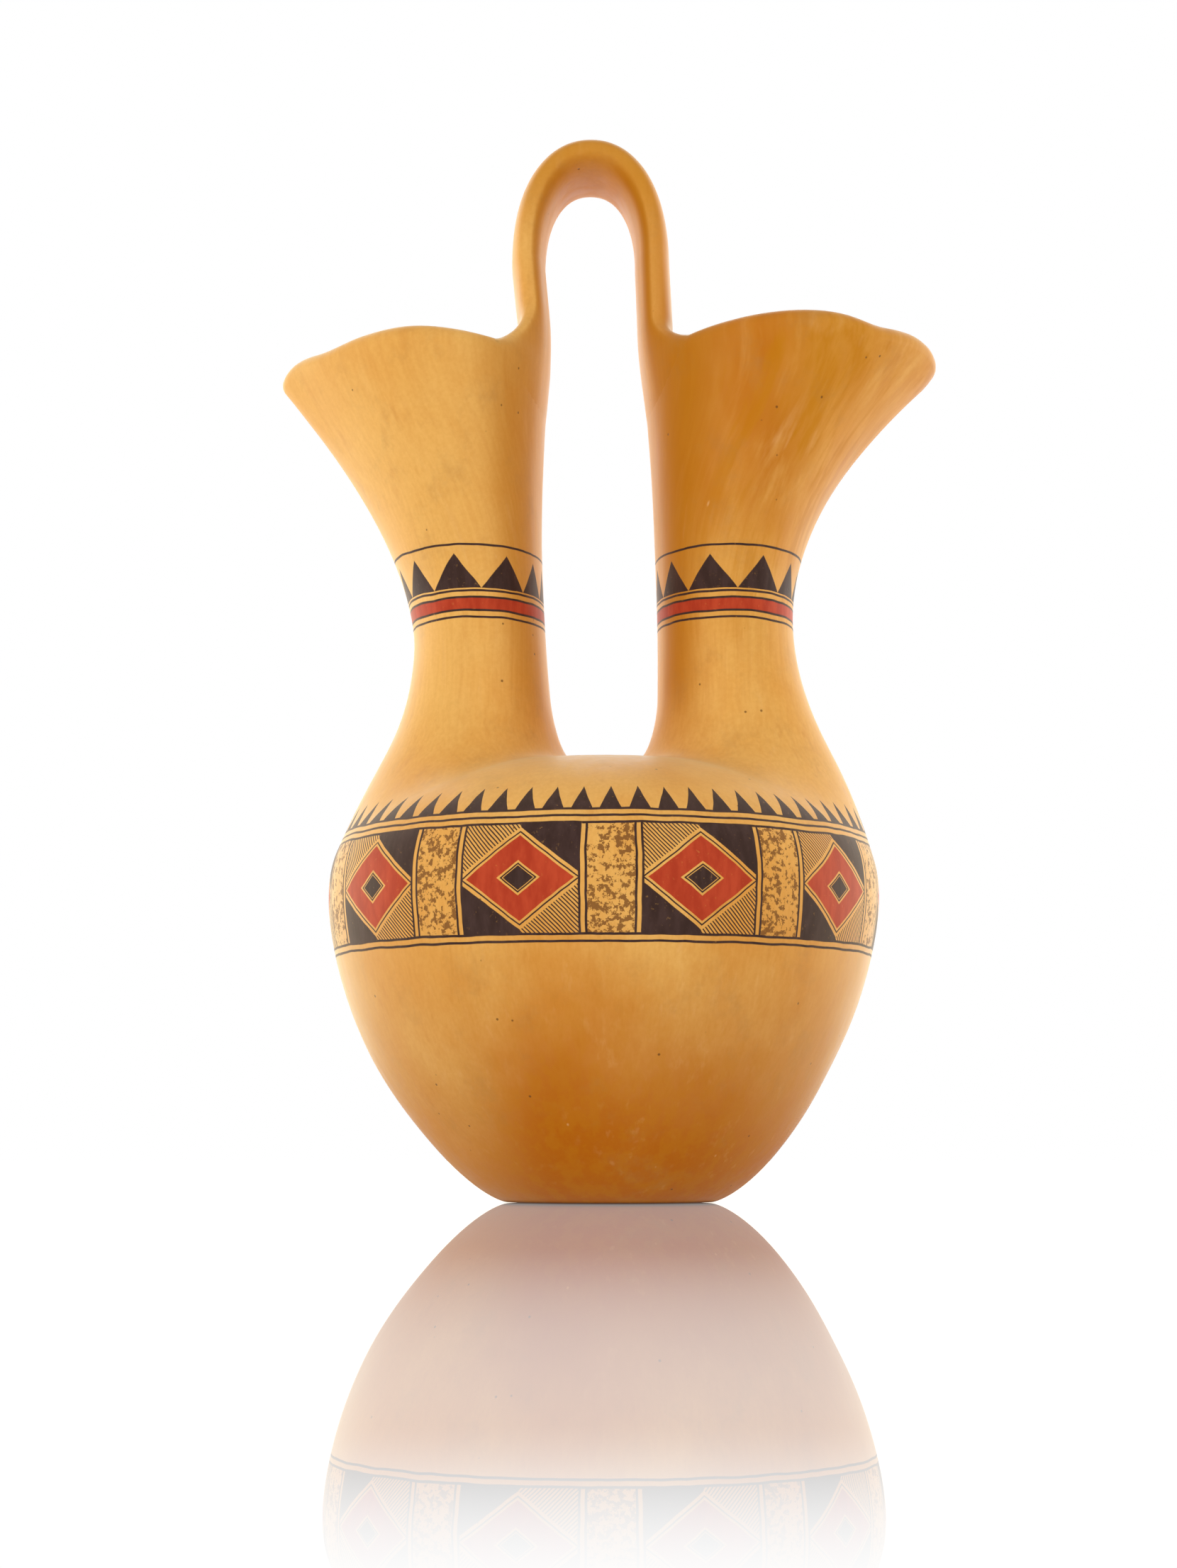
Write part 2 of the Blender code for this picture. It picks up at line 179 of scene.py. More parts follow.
rightSpout = {
    "side": 1,
    "inset": 0.0010,
    "reach": 0.0060,
    "waistHeight": 0.150,
    "waist": 0.0484,
    "spread": 0.0033,
    "tip": 0.0869,
    "gaps": (0.0123, 0.0118, 0.0088),
    "rim": 0.2152,
    "lift": 0.0040,
    "drop": -0.0026,
    "tipDrop": 0.0020,
    "nose": 14.3,
    "blunt": 0.0017,
    "bluntStart": 0.96,
    "flare": 1.98,
    "pinch": 0.25,
    "beak": 1.29,
    "pull": 1.7,
    "sag": 0.0013,
    "sagAt": 0.544,
    "sagWide": 0.18,
    "strapGap": 0.0064,
    "strapFoot": 0.0076,
    "strapThick": 0.0102,
    "filletTurn": 0.78,
    "filletRise": 0.013,
    "filletPull": 0.85,
}
spoutRise = {
    "neckStart": 0.130,
    "neckShare": 0.57,
    "rimCoil": 0.0085,
    "neckDepth": 0.024,
    "mouthDepth": 0.0440,
    "depthPower": 1.7,
    "crest": 0.3,
    "bluntEnd": 1.03,
    "innerPull": 0.6,
    "endPull": 1.0,
}


def holePlan(spout, angles):
    outer = jar["belly"] - spout["inset"] + spout["side"] * jar["lean"]
    middle = (outer + spout["reach"]) / 2
    half = (outer - spout["reach"]) / 2
    x = spout["side"] * (middle + half * np.cos(angles))
    narrowing = 1 - jar["holePinch"] * np.maximum(-np.cos(angles), 0) ** 2
    return x, jar["holeDepth"] * narrowing * np.sin(angles)


def holeSweep():
    return np.linspace(-jar["bridgeTurn"], jar["bridgeTurn"], jar["holeSteps"] + 1)


def bridgeSweep():
    return np.linspace(jar["bridgeTurn"], 2 * math.pi - jar["bridgeTurn"], jar["bridgeRows"] + 1)


spoutAngles = np.concatenate([holeSweep(), bridgeSweep()[1:-1]])


def openingPlan():
    right = np.stack(holePlan(rightSpout, holeSweep()), axis=1)
    left = np.stack(holePlan(leftSpout, -holeSweep()), axis=1)
    shares = np.arange(1, jar["bridgeSteps"])[:, None] / jar["bridgeSteps"]
    back = right[-1] + (left[0] - right[-1]) * shares
    front = left[-1] + (right[0] - left[-1]) * shares
    return np.concatenate([right, back, left, front])


def outerReach(spout, z):
    if z < spout["waistHeight"]:
        below = (spout["waistHeight"] - z) / (spout["waistHeight"] - spoutRise["neckStart"])
        return spout["waist"] + spout["spread"] * below**2
    above = (z - spout["waistHeight"]) / (spout["rim"] - spout["waistHeight"])
    return spout["waist"] + (spout["tip"] - spout["waist"]) * above ** spout["flare"]


# near 0 on the strap's side of the mouth, 1 at its tip
def frontness(cosine):
    soft = spoutRise["crest"]
    return (cosine + np.sqrt(cosine**2 + soft**2)) / (1 + math.sqrt(1 + soft**2))


def spoutPoints(spout, angles, share):
    z = spoutRise["neckStart"] + (spout["rim"] - spoutRise["neckStart"]) * share
    outer = outerReach(spout, z)
    low, middle, high = spout["gaps"]
    inner = low + (high - low) * share + 4 * (middle - (low + high) / 2) * share * (1 - share)
    grow = max(share, 0) ** spoutRise["depthPower"]
    depth = spoutRise["neckDepth"] + (spoutRise["mouthDepth"] - spoutRise["neckDepth"]) * grow
    outward = frontness(np.cos(angles))
    narrowing = 1 - spout["pinch"] * share**2 * outward ** spout["beak"]
    blunt = spout["blunt"] * outward**3 * smooth(share, spout["bluntStart"], spoutRise["bluntEnd"])
    dipped = spout["sag"] * np.exp(-(((np.cos(angles) - spout["sagAt"]) / spout["sagWide"]) ** 2))
    x = spout["side"] * ((outer + inner) / 2 + (outer - inner) / 2 * np.cos(angles) - blunt)
    wave = (
        spout["lift"] * np.sin(angles) ** 2
        - spout["drop"] * outward**3
        - spout["tipDrop"] * outward ** spout["nose"]
        - dipped
    )
    return np.stack([x, depth * narrowing * np.sin(angles), z + wave * share**3], axis=-1)


def spoutNormals(spout, angles, share):
    around = spoutPoints(spout, angles + step, share) - spoutPoints(spout, angles - step, share)
    up = spoutPoints(spout, angles, share + step) - spoutPoints(spout, angles, share - step)
    return spout["side"] * unit(np.cross(around, up))


def rootPoints(spout, angles, share):
    x, y = holePlan(spout, angles)
    start = domePoints(x, y)
    end = spoutPoints(spout, angles, 0.0)
    span = np.linalg.norm(end - start, axis=1, keepdims=True)
    along, across = domeSlopes(x, y)
    into = np.stack([-spout["side"] * np.cos(angles), -np.sin(angles)], axis=1)
    climb = along * into[:, 0] + across * into[:, 1]
    leave = unit(np.concatenate([into, climb[:, None]], axis=1))
    arrive = unit(spoutPoints(spout, angles, step) - end)
    inner = spoutRise["innerPull"]
    pull = inner + (spout["pull"] - inner) * (1 + np.cos(angles[:, None])) / 2
    return hermite(start, pull * span * leave, end, spoutRise["endPull"] * span * arrive, share)


# hand-made unevenness: slow and quick waves, their lengths in millimetres
dent = {
    "slow": 0.00022,
    "slowWaves": (17, 19, 23),
    "slowPhases": (0.7, 1.9, 0.4),
    "quick": 0.00007,
    "quickWaves": (7.3, 8.1),
    "quickLean": (11, 13),
    "quickPhases": (2.1, 0.3),
    "sunk": 0.0003,  # the skin lies this far inside, so that no bump passes the solids
    "flatBelow": 0.02,  # the foot stays flat on the table
}


def dents(points):
    x, y, z = (points * 1000).T
    a, b, c = dent["slowWaves"]
    p, q, r = dent["slowPhases"]
    slow = np.sin(x / a + p) * np.sin(y / b + q) * np.sin(z / c + r)
    a, b = dent["quickWaves"]
    c, d = dent["quickLean"]
    p, q = dent["quickPhases"]
    quick = np.sin(x / a + z / c + p) * np.sin(y / b - z / d + q)
    return dent["slow"] * slow + dent["quick"] * quick


def pressed(points, normals):
    depth = (dents(points) - dent["sunk"]) * smooth(points[:, 2], 0.0, dent["flatBelow"])
    return points + depth[:, None] * normals


# rows of points up each piece, and how they crowd
rowCounts = {
    "disc": 6,
    "pat": 12,
    "lower": 18,
    "belly": 20,
    "shoulder": 24,
    "root": 20,
    "neck": 22,
    "lip": 16,
    "coil": 6,
}
rowPowers = {"pat": 2, "shoulder": 1.7}
discHole = 0.12


def grids():
    made = {}
    patHeights = jar["patTop"] * np.linspace(0, 1, rowCounts["pat"]) ** rowPowers["pat"]
    disc = [bodyRing(0.0, share) for share in np.linspace(discHole, 1, rowCounts["disc"])[:-1]]
    made["foot_pat"] = np.array(disc + [bodyRing(z) for z in patHeights])
    lowerHeights = np.linspace(jar["patTop"], jar["lowerTop"], rowCounts["lower"])
    made["lower_course"] = np.array([bodyRing(z) for z in lowerHeights])
    bellyHeights = np.linspace(jar["lowerTop"], jar["bellyTop"], rowCounts["belly"])
    made["belly_course"] = np.array([bodyRing(z) for z in bellyHeights])
    ring = bodyRing(jar["bellyTop"])[:, :2]
    edge = openingPlan()
    shares = np.linspace(0, 1, rowCounts["shoulder"]) ** rowPowers["shoulder"]
    rows = [ring + (edge - ring) * share for share in shares]
    made["shoulder_course"] = np.array([domePoints(*row.T) for row in rows])
    slab = []
    for angle in bridgeSweep():
        left, y = holePlan(leftSpout, angle)
        right, _ = holePlan(rightSpout, angle)
        x = np.linspace(right, left, jar["bridgeSteps"] + 1)
        slab.append(domePoints(x, np.full_like(x, y)))
    made["saddle_bridge"] = np.array(slab)
    for name, spout in (("left", leftSpout), ("right", rightSpout)):
        rise = spout["rim"] - spoutRise["neckStart"]
        lip = spoutRise["neckShare"]
        coil = 1 - spoutRise["rimCoil"] / rise
        rootRows = np.linspace(0, 1, rowCounts["root"])
        made[name + "_root"] = np.array([rootPoints(spout, spoutAngles, s) for s in rootRows])
        for piece, low, high in (("neck", 0, lip), ("lip", lip, coil), ("rim_coil", coil, 1)):
            shares = np.linspace(low, high, rowCounts[piece.split("_")[-1]])
            made[name + "_" + piece] = np.array([spoutPoints(spout, spoutAngles, s) for s in shares])
    return made


def gridFaces(rows, columns, wrapped):
    index = np.arange(rows * columns).reshape(rows, columns)
    if wrapped:
        index = np.concatenate([index, index[:, :1]], axis=1)
    quads = np.stack([index[:-1, :-1], index[:-1, 1:], index[1:, 1:], index[1:, :-1]], axis=-1)
    return quads.reshape(-1, 4)


# normals shared by all pieces, so the slip joints don't show
def weldedNormals(pointSets, faceSets):
    counts = np.cumsum([0] + [len(p) for p in pointSets])
    points = np.concatenate(pointSets)
    faces = np.concatenate([f + c for f, c in zip(faceSets, counts)])
    _, welded = np.unique(np.round(points, 7), axis=0, return_inverse=True)
    welded = welded.reshape(-1)
    corners = points[faces]
    areas = np.cross(corners[:, 2] - corners[:, 0], corners[:, 3] - corners[:, 1])
    sums = np.zeros((welded.max() + 1, 3))
    for corner in range(4):
        np.add.at(sums, welded[faces[:, corner]], areas)
    normals = unit(sums)[welded]
    return [normals[a:b] for a, b in zip(counts, counts[1:])]


outerGrids = grids()
names = list(outerGrids)
wraps = {name: name != "saddle_bridge" for name in names}
# rings run the other way round on the left spout
flips = {name: name.startswith("left") for name in names}


def skinFaces(name, rows, columns):
    faces = gridFaces(rows, columns, wraps[name])
    return faces[:, ::-1] if flips[name] else faces


flat = [outerGrids[n].reshape(-1, 3) for n in names]
skins = [skinFaces(n, *outerGrids[n].shape[:2]) for n in names]
outwards = weldedNormals(flat, skins)
flat = [pressed(p, n) for p, n in zip(flat, outwards)]
outwards = weldedNormals(flat, skins)
print("outer skin", sum(len(p) for p in flat), "points")


capSteps = 8


# half round over the rim, from the outer wall to the inner one
def rimCap(outer, inner, up):
    rows = []
    for turn in np.arange(1, capSteps) * math.pi / capSteps:
        rows.append(outer + (inner - outer) * (1 - math.cos(turn)) / 2 + up * math.sin(turn) * jar["wall"] / 2)
    return rows


# each piece's skin: one grid round a rim, else an outer and an inner grid
pieces = {}
for name, points, normals in zip(names, flat, outwards):
    shape = outerGrids[name].shape
    outer = points.reshape(shape)
    inner = (points - jar["wall"] * normals).reshape(shape)
    if name.endswith("rim_coil"):
        up = unit(outer[-1] - outer[-2])
        loops = list(outer) + rimCap(outer[-1], inner[-1], up) + list(inner[::-1])
        pieces[name] = [np.array(loops)]
    else:
        pieces[name] = [outer, inner[::-1]]


def pieceMesh(name):
    points = np.concatenate([p.reshape(-1, 3) for p in pieces[name]])
    skin = []
    offset = 0
    for part in pieces[name]:
        skin.append(skinFaces(name, *part.shape[:2]) + offset)
        offset += part.shape[0] * part.shape[1]
    return points, np.concatenate(skin)


meshes = {name: pieceMesh(name) for name in names}
allPoints, allSkins = zip(*meshes.values())
sharedNormals = dict(zip(names, weldedNormals(allPoints, allSkins)))


# the slip joints that close a piece
def jointFaces(name):
    ids = []
    offset = 0
    for part in pieces[name]:
        rows, columns = part.shape[:2]
        ids.append(np.arange(rows * columns).reshape(rows, columns) + offset)
        offset += rows * columns
    outer, inner = ids[0], ids[-1]
    strips = []
    if name.endswith("rim_coil"):
        strips.append((outer[-1], outer[0], True))
    elif name == "foot_pat":
        strips.append((outer[-1], inner[0], True))
    elif wraps[name]:
        strips.append((outer[-1], inner[0], True))
        strips.append((inner[-1], outer[0], True))
    else:
        strips.append((outer[-1], inner[0], False))
        strips.append((inner[-1], outer[0], False))
        strips.append((outer[:, 0], inner[::-1, 0], False))
        strips.append((outer[::-1, -1], inner[:, -1], False))
    faces = []
    for low, high, closed in strips:
        count = len(low)
        for i in range(count if closed else count - 1):
            j = (i + 1) % count
            face = (low[i], low[j], high[j], high[i])
            faces.append(face[::-1] if flips[name] else face)
    if name == "foot_pat":
        middleOut, middleIn = offset, offset + 1
        for i in range(ringCount):
            j = (i + 1) % ringCount
            faces.append((middleOut, outer[0][j], outer[0][i]))
            faces.append((middleIn, inner[-1][i], inner[-1][j]))
    return faces


# the first smoothCount faces take the shared normals, the joints their own
def addObject(name, points, faces, smoothCount, normals, slot):
    mesh = bpy.data.meshes.new(name)
    mesh.from_pydata([tuple(p) for p in points], [], [tuple(int(i) for i in f) for f in faces])
    mesh.validate(clean_customdata=False)
    mesh.shade_smooth()
    loops = np.zeros((len(mesh.loops), 3))
    corner = 0
    for number, face in enumerate(mesh.polygons):
        for vertex in face.vertices:
            loops[corner] = normals[vertex] if number < smoothCount else face.normal
            corner += 1
    mesh.normals_split_custom_set([tuple(n) for n in loops])
    made = bpy.data.objects.new(name + "_skin", mesh)
    scene.collection.objects.link(made)
    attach(made, "root")
    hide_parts(name)
    return made


slots = {p["node"]: p["material_slot"] for p in frame["record"]["subparts"]}
skinObjects = {}
for name in names:
    points, skin = meshes[name]
    normals = sharedNormals[name]
    if name == "foot_pat":
        outerMiddle = np.array([[0, 0, 0.0]])
        innerMiddle = points[-ringCount:].mean(0, keepdims=True)
        points = np.concatenate([points, outerMiddle, innerMiddle])
        normals = np.concatenate([normals, [[0, 0, -1.0]], [[0, 0, 1.0]]])
    faces = [tuple(f) for f in skin] + jointFaces(name)
    skinObjects[name] = addObject(name, points, faces, len(skin), normals, slots[name])
print("clay pieces", len(skinObjects))

# handle: a flat strap bent over, its ends pulled down over the rims
strap = {
    "top": 0.2771,
    "spring": 0.2445,
    "width": 0.0365,
    "archPower": 2.2,
    "outerPower": 3.0,
    "innerPower": 2.2,
    "around": 64,
    "along": 120,
    "archSteps": 400,
    "legSteps": 12,
    "footRows": 22,
    "footPull": 1.1,
    "landOut": 0.016,  # how far the foot runs down outside the rim
    "landIn": 0.007,  # and inside it
    "landRows": 6,  # rows that take the rim's normals
    "clear": 0.00025,  # the foot's skin over the lip
    "clearFade": 0.4,
    "clearRise": (0.006, 0.001),
    "buried": 0.6,
    "dip": 0.00016,  # the last rows sink into the rim
}


def strapPath():
    left = -leftSpout["strapGap"] - leftSpout["strapThick"] / 2
    right = rightSpout["strapGap"] + rightSpout["strapThick"] / 2
    thick = (leftSpout["strapThick"] + rightSpout["strapThick"]) / 2
    rise = strap["top"] - thick / 2 - strap["spring"]
    cosine, sine = superellipse(np.linspace(math.pi, 0, strap["archSteps"]), strap["archPower"])
    across = (left + right) / 2 + (right - left) / 2 * cosine
    arch = np.stack([across, strap["spring"] + rise * sine], axis=1)
    path = np.concatenate([strapLeg(leftSpout, left), arch, strapLeg(rightSpout, right)[::-1]])
    lengths = np.concatenate([[0], np.cumsum(np.linalg.norm(np.diff(path, axis=0), axis=1))])
    keep = np.concatenate([[True], np.diff(lengths) > 1e-9])
    even = np.linspace(0, lengths[-1], strap["along"] + 1)
    return np.stack([np.interp(even, lengths[keep], path[keep, i]) for i in (0, 1)], axis=1)


def strapLeg(spout, spring):
    foot = spout["side"] * (spout["strapFoot"] + spout["strapThick"] / 2)
    low = spout["rim"] + spout["filletRise"]
    heights = np.linspace(low, strap["spring"], strap["legSteps"])[:-1]
    shares = (heights - spout["rim"]) / (strap["spring"] - spout["rim"])
    return np.stack([foot + (spring - foot) * shares, heights], axis=1)


# points on the lip, by turn round it and by distance over the rim
def lipPoint(spout, angles, across):
    half = math.pi * jar["wall"] / 4
    rise = spout["rim"] - spoutRise["neckStart"]
    points = np.zeros((len(angles), 3))
    for i, (angle, distance) in enumerate(zip(angles, across)):
        one = np.array([angle])
        if abs(distance) > half:
            share = 1 - (abs(distance) - half) / rise
            point = spoutPoints(spout, one, share)
            if distance > 0:
                point = point - jar["wall"] * spoutNormals(spout, one, share)
        else:
            turn = (distance / half + 1) * math.pi / 2
            top = spoutPoints(spout, one, 1.0)
            normal = spoutNormals(spout, one, 1.0)
            up = unit(top - spoutPoints(spout, one, 1 - 1e-3))
            point = top - normal * jar["wall"] * (1 - math.cos(turn)) / 2 + up * math.sin(turn) * jar["wall"] / 2
        points[i] = point[0]
    return points


# lifts the strap's foot clear of the lip that it runs down
def keepOutside(spout, points, clear):
    rise = spout["rim"] - spoutRise["neckStart"]
    for i, point in enumerate(points):
        share = min((point[2] - spoutRise["neckStart"]) / rise, 1.0)
        tip, side, near = spoutPoints(spout, np.array([0, math.pi / 2, math.pi]), share)
        middle, half = (tip[0] + near[0]) / 2, abs(tip[0] - near[0]) / 2
        turn = np.array([math.atan2(point[1] / side[1], spout["side"] * (point[0] - middle) / half)])
        normal = spoutNormals(spout, turn, share)[0]
        apart = (point - spoutPoints(spout, turn, share)[0]) @ normal
        if -strap["buried"] * jar["wall"] < apart < clear:
            high, low = strap["clearRise"]
            fade = smooth(point[2], spout["rim"] + high, spout["rim"] + low)
            points[i] = point + normal * (clear - apart) * fade
    return points


def strapFoot(spout, section, tangent, turns):
    half = math.pi * jar["wall"] / 4
    cosine, sine = np.cos(turns), np.sin(turns)
    reach = np.where(cosine > 0, half + strap["landIn"], half + strap["landOut"])

    def landing(grow):
        return lipPoint(spout, math.pi - grow * spout["filletTurn"] * sine, grow * reach * cosine)

    end = landing(1.0)
    arrive = unit(landing(1.001) - landing(0.999))
    span = np.linalg.norm(end - section, axis=1, keepdims=True)
    rows = []
    pull = spout["filletPull"] + (strap["footPull"] - spout["filletPull"]) * cosine[:, None] ** 2
    for share in np.linspace(0, 1, strap["footRows"])[1:]:
        row = hermite(section, pull * span * tangent, end, pull * span * arrive, share)
        clear = strap["clear"] * smooth(1 - share, 0, strap["clearFade"])
        rows.append(keepOutside(spout, row, clear) if share < 1 else row)
    turned = math.pi - spout["filletTurn"] * sine
    around = lipPoint(spout, turned + 1e-4, reach * cosine) - lipPoint(spout, turned - 1e-4, reach * cosine)
    over = lipPoint(spout, turned, reach * cosine + 1e-5) - lipPoint(spout, turned, reach * cosine - 1e-5)
    return rows, unit(spout["side"] * np.cross(around, over))


path = strapPath()
tangents = unit(np.gradient(path, axis=0))
halves = np.linspace(leftSpout["strapThick"], rightSpout["strapThick"], len(path)) / 2
turns = np.arange(strap["around"]) * 2 * math.pi / strap["around"]
thick, wide = superellipse(turns, np.where(np.cos(turns) > 0, strap["outerPower"], strap["innerPower"]))
sections = []
for (x, z), (run, climb), half in zip(path, tangents, halves):
    out = half * thick
    sections.append(np.stack([x - climb * out, strap["width"] / 2 * wide, z + run * out], axis=1))
leftDown = np.array([-tangents[0][0], 0, -tangents[0][1]])
rightDown = np.array([tangents[-1][0], 0, tangents[-1][1]])
leftRows, leftLanding = strapFoot(leftSpout, sections[0], leftDown, turns)
rightRows, rightLanding = strapFoot(rightSpout, sections[-1], rightDown, turns)
strapLoops = np.array(leftRows[::-1] + sections + rightRows)
strapPoints = strapLoops.reshape(-1, 3)
strapFaces = gridFaces(len(strapLoops), strap["around"], True)[:, ::-1]
strapNormals = weldedNormals([strapPoints], [strapFaces])[0]
count = strap["around"]
# the last rows take the normals and the dents of the rim that they land on
strapNormals = strapNormals.reshape(strapLoops.shape)
landRows = strap["landRows"]
for row in range(landRows):
    share = smooth(1 - row / landRows, 0, 1)
    strapNormals[row] = unit(strapNormals[row] * (1 - share) + leftLanding * share)
    strapNormals[-1 - row] = unit(strapNormals[-1 - row] * (1 - share) + rightLanding * share)
sink = np.full(len(strapLoops), dent["sunk"])
dip = np.linspace(strap["dip"], 0, landRows)
sink[:landRows] += dip
sink[-landRows:] += dip[::-1]
strapNormals = strapNormals.reshape(-1, 3)
strapPoints = strapPoints + (dents(strapPoints) - np.repeat(sink, count))[:, None] * strapNormals
last = len(strapPoints) - count
caps = [tuple(range(count)), tuple(range(last, last + count))[::-1]]
allFaces = [tuple(f) for f in strapFaces] + caps
handle = addObject("handle_strap", strapPoints, allFaces, len(strapFaces), strapNormals, slots["handle_strap"])
skinObjects["handle_strap"] = handle
print("handle built")


# shader helper: each call adds one node and returns its output
class Graph:
    def __init__(self, tree):
        self.tree = tree

    def set(self, socket, value):
        if isinstance(value, bpy.types.NodeSocket):
            self.tree.links.new(value, socket)
        elif value is not None:
            socket.default_value = value

    def math(self, operation, a, b=None, c=None):
        node = self.tree.nodes.new("ShaderNodeMath")
        node.operation = operation
        for socket, value in zip(node.inputs, (a, b, c)):
            self.set(socket, value)
        return node.outputs[0]

    def add(self, a, b):
        return self.math("ADD", a, b)

    def subtract(self, a, b):
        return self.math("SUBTRACT", a, b)

    def times(self, a, b):
        return self.math("MULTIPLY", a, b)

    def most(self, a, b):
        return self.math("MAXIMUM", a, b)

    def least(self, a, b):
        return self.math("MINIMUM", a, b)

    def size(self, a):
        return self.math("ABSOLUTE", a)

    def ramp(self, value, low, high, start=0.0, end=1.0):
        node = self.tree.nodes.new("ShaderNodeMapRange")
        node.interpolation_type = "SMOOTHSTEP"
        labels = ("Value", "From Min", "From Max", "To Min", "To Max")
        for label, item in zip(labels, (value, low, high, start, end)):
            self.set(node.inputs[label], item)
        return node.outputs[0]

    def below(self, value, limit, soft):
        return self.ramp(value, self.subtract(limit, soft), self.add(limit, soft), 1.0, 0.0)

    def split(self, vector):
        node = self.tree.nodes.new("ShaderNodeSeparateXYZ")
        self.set(node.inputs[0], vector)
        return node.outputs[0], node.outputs[1], node.outputs[2]

    def join(self, x, y, z):
        node = self.tree.nodes.new("ShaderNodeCombineXYZ")
        for socket, value in zip(node.inputs, (x, y, z)):
            self.set(socket, value)
        return node.outputs[0]

    def scale(self, vector, amounts):
        node = self.tree.nodes.new("ShaderNodeVectorMath")
        node.operation = "MULTIPLY"
        self.set(node.inputs[0], vector)
        node.inputs[1].default_value = amounts
        return node.outputs[0]

    def noise(self, vector, scale, detail=2.0, roughness=0.5):
        node = self.tree.nodes.new("ShaderNodeTexNoise")
        self.set(node.inputs["Vector"], vector)
        for label, item in (("Scale", scale), ("Detail", detail), ("Roughness", roughness)):
            node.inputs[label].default_value = item
        return node.outputs["Fac"]

    def cells(self, vector, scale):
        node = self.tree.nodes.new("ShaderNodeTexVoronoi")
        self.set(node.inputs["Vector"], vector)
        node.inputs["Scale"].default_value = scale
        return node.outputs["Distance"], node.outputs["Color"]

    def mix(self, share, a, b):
        node = self.tree.nodes.new("ShaderNodeMix")
        node.data_type = "RGBA"
        self.set(node.inputs[0], share)
        self.set(node.inputs[6], a)
        self.set(node.inputs[7], b)
        return node.outputs[2]

    def normal(self):
        return self.split(self.tree.nodes.new("ShaderNodeNewGeometry").outputs["Normal"])

    def blendValue(self, share, a, b):
        node = self.tree.nodes.new("ShaderNodeMix")
        self.set(node.inputs[0], share)
        self.set(node.inputs[2], a)
        self.set(node.inputs[3], b)
        return node.outputs[0]


def newGroup(name, inputs, outputs):
    tree = bpy.data.node_groups.new(name, "ShaderNodeTree")
    for label, kind in inputs:
        tree.interface.new_socket(label, in_out="INPUT", socket_type=kind)
    for label, kind in outputs:
        tree.interface.new_socket(label, in_out="OUTPUT", socket_type=kind)
    entry = tree.nodes.new("NodeGroupInput")
    leave = tree.nodes.new("NodeGroupOutput")
    return Graph(tree), entry.outputs, leave.inputs


vectorKind, floatKind, colourKind = "NodeSocketVector", "NodeSocketFloat", "NodeSocketColor"

# burnished clay: colour by place with painted shade low down and in the gap, clouding, stone marks and pits
clay = {
    "pale": (0.80, 0.44, 0.118, 1),
    "middle": (0.72, 0.325, 0.060, 1),
    "deep": (0.45, 0.108, 0.0, 1),
    "amber": (0.52, 0.19, 0.006, 1),
    "smoke": (0.40, 0.19, 0.055, 1),
    "pit": (0.12, 0.045, 0.012, 1),
    "rub": (0.86, 0.52, 0.22, 1),
    # where a tone starts and ends along x, z or a normal, and its share at both
    "fanHeight": (0.150, 0.216, 1.0, 0.56),
    # lowHeight, lowLeft, lowRight: the deep tone low down, partly the clay's own colour and partly painted shade
    "lowHeight": (0.010, 0.084, 1.0, 0.0),
    "lowLeft": (-0.045, -0.012, 0.42, 1.0),
    "lowRight": (0.012, 0.045, 1.0, 0.90),
    "leftAcross": (0.0, -0.05),
    "leftHeight": (0.09, 0.16),
    "rightAcross": (-0.005, 0.05),
    "rightHeight": (0.125, 0.175),
    "heartNear": (0.008, 0.018),
    "heartFar": (0.056, 0.038),
    "heartHeight": (0.156, 0.186),
    # gapMiddle to gapAcross: painted shade where the necks face each other across the gap
    "gapMiddle": (-0.013, 0.003, -1.0, 1.0),
    "gapTurn": (-0.40, -0.88),
    "gapHeight": (0.112, 0.135),
    "gapFront": (-0.20, -0.40),
    "gapAcross": (-0.02, 0.0, 0.56, 0.90),
    "archHeight": (0.245, 0.268, 0.0, 0.70),
    # noises: upright stretch, scale, detail, roughness
    "cloud": (1, 22, 4, 0.55),
    "drift": (0.35, 42, 3, 0.6),
    "streak": (0.09, 230, 4, 0.6),
    "long": (0.055, 330, 3, 0.6),
    "fine": (0.04, 1100, 2, 0.5),
    "smudge": (1, 75, 5, 0.7),
    "mottle": (1, 900, 3, 0.65),
    "grain": (1, 2600, 2, 0.6),
    # how strongly each noise shows
    "cloudMix": (0.3, 0.7),
    "amberDrift": (0.25, 0.65, 0.25, 0.62),
    "heartDrift": (0.28, 0.62, 0.35, 0.66),
    "amberStreak": (0.52, 0.36, 0.0, 0.70),
    "lowStreak": (0.56, 0.40, 0.0, 0.30),
    "paleStreak": (0.54, 0.74, 0.0, 0.35),
    "rubLong": (0.56, 0.78),
    "rubDrift": (0.35, 0.7, 0.03, 0.22),
    "dullLong": (0.44, 0.24),
    "deepFine": (0.3, 0.7, 0.0, 0.10),
    "smudgeMix": (0.50, 0.78),
    "mottleMix": (0.36, 0.64),
    "roughLong": (0.2, 0.8, 0.36, 0.50),
    "lowUneven": (0.020, 0.030),
    "leftPale": 0.45,
    "lowDeep": 0.97,
    "dullDeep": 0.16,
    "smudgeSmoke": 0.30,
    "mottleAmber": 0.10,
    "roughCloud": 0.12,
    # chips and pits: cell scale, size, softness, chance
    "chipStretch": 0.4,
    "chips": (210, 0.05, 0.04, (0.92, 0.96, 0.0, 0.4)),
    "pits": (260, 0.085, 0.03, (0.86, 0.90)),
    "pitTone": 0.75,
    "heights": {"long": 0.6, "fine": 0.3, "grain": 0.16, "pit": 1.4},
}


